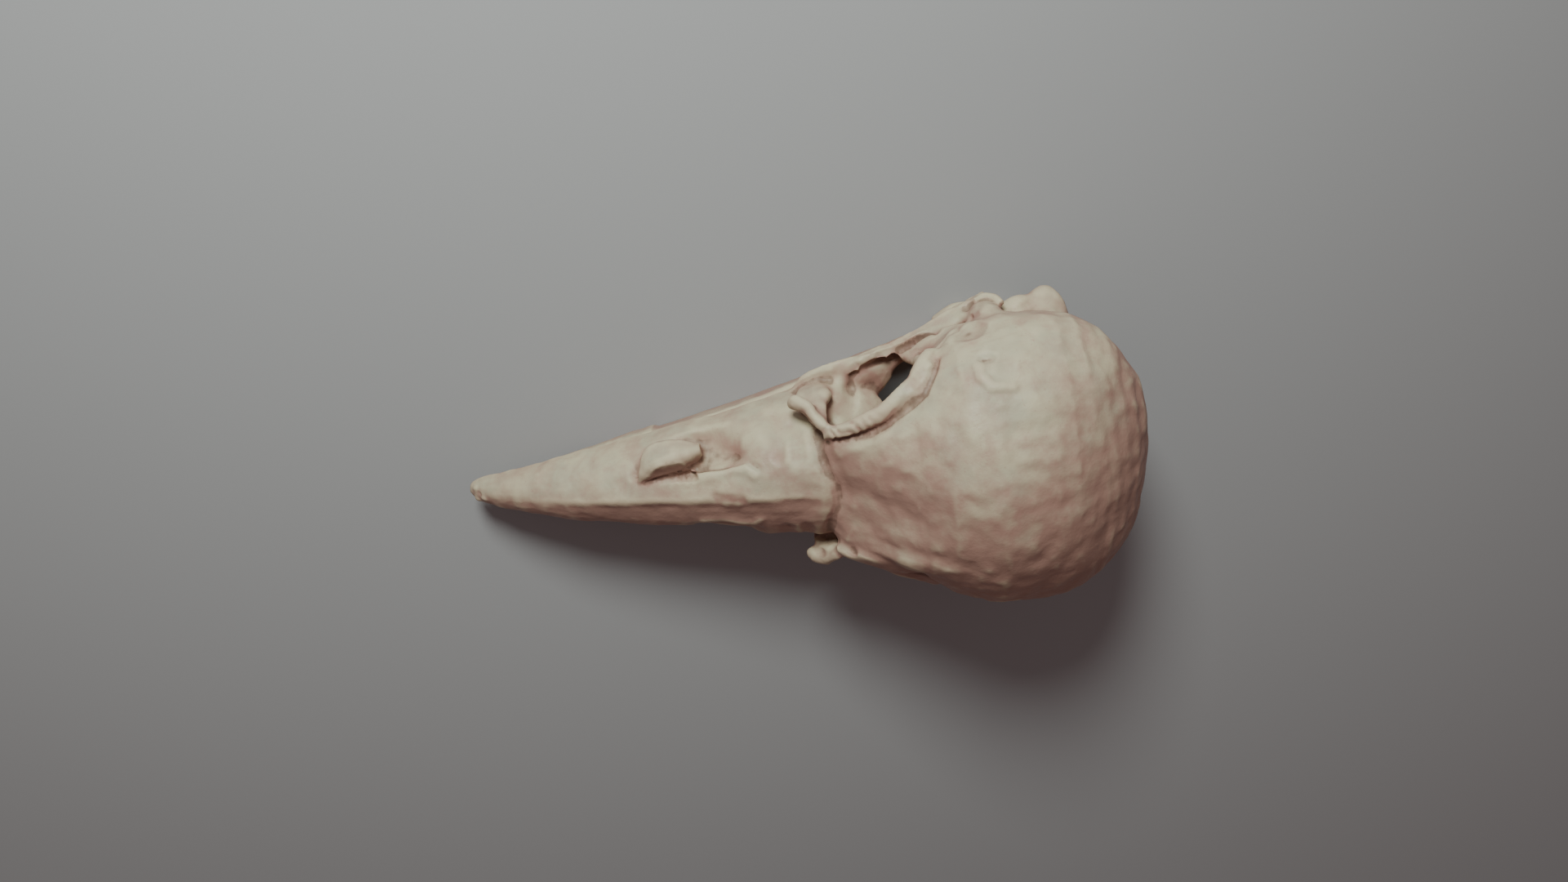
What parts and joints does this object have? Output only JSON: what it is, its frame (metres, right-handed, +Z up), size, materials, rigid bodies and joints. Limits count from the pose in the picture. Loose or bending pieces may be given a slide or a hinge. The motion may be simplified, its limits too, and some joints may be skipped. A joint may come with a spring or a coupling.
{
  "type": "raven skull",
  "caption": "Life-size dry skull of a raven: stout pointed bill with open nostrils, ringed eye sockets, wide domed braincase and closed lower jaw.",
  "frame": {"origin": "middle of the bounding box's underside, at table level under the flats on the lower jaw", "axes": "+X towards the back of the head, so the bill points along -X; +Y towards the bird's right; +Z up"},
  "size_m": [0.1104, 0.0484, 0.0411],
  "materials": {
    "skull_bone": "dry cream bone, matte with a faint waxy sheen",
    "shaded_bone": "thin brown-stained bone between the eye sockets, matte",
    "small_bone": "dry greenish-grey bone, matte",
    "jaw_bone": "dry greenish-grey bone, matte"
  },
  "bodies": {
    "root": {"upper_bill": "skull_bone", "frontal": "skull_bone", "braincase": "skull_bone", "interorbital_septum": "shaded_bone", "quadrate_right": "small_bone", "quadrate_left": "small_bone", "lacrimal_right": "small_bone", "lacrimal_left": "small_bone", "jugal_bar_right": "small_bone", "jugal_bar_left": "small_bone", "palatine_right": "small_bone", "palatine_left": "small_bone", "pterygoid_right": "small_bone", "pterygoid_left": "small_bone", "mandible_symphysis": "jaw_bone", "mandible_ramus_right": "jaw_bone", "mandible_ramus_left": "jaw_bone"}
  },
  "joints": []
}
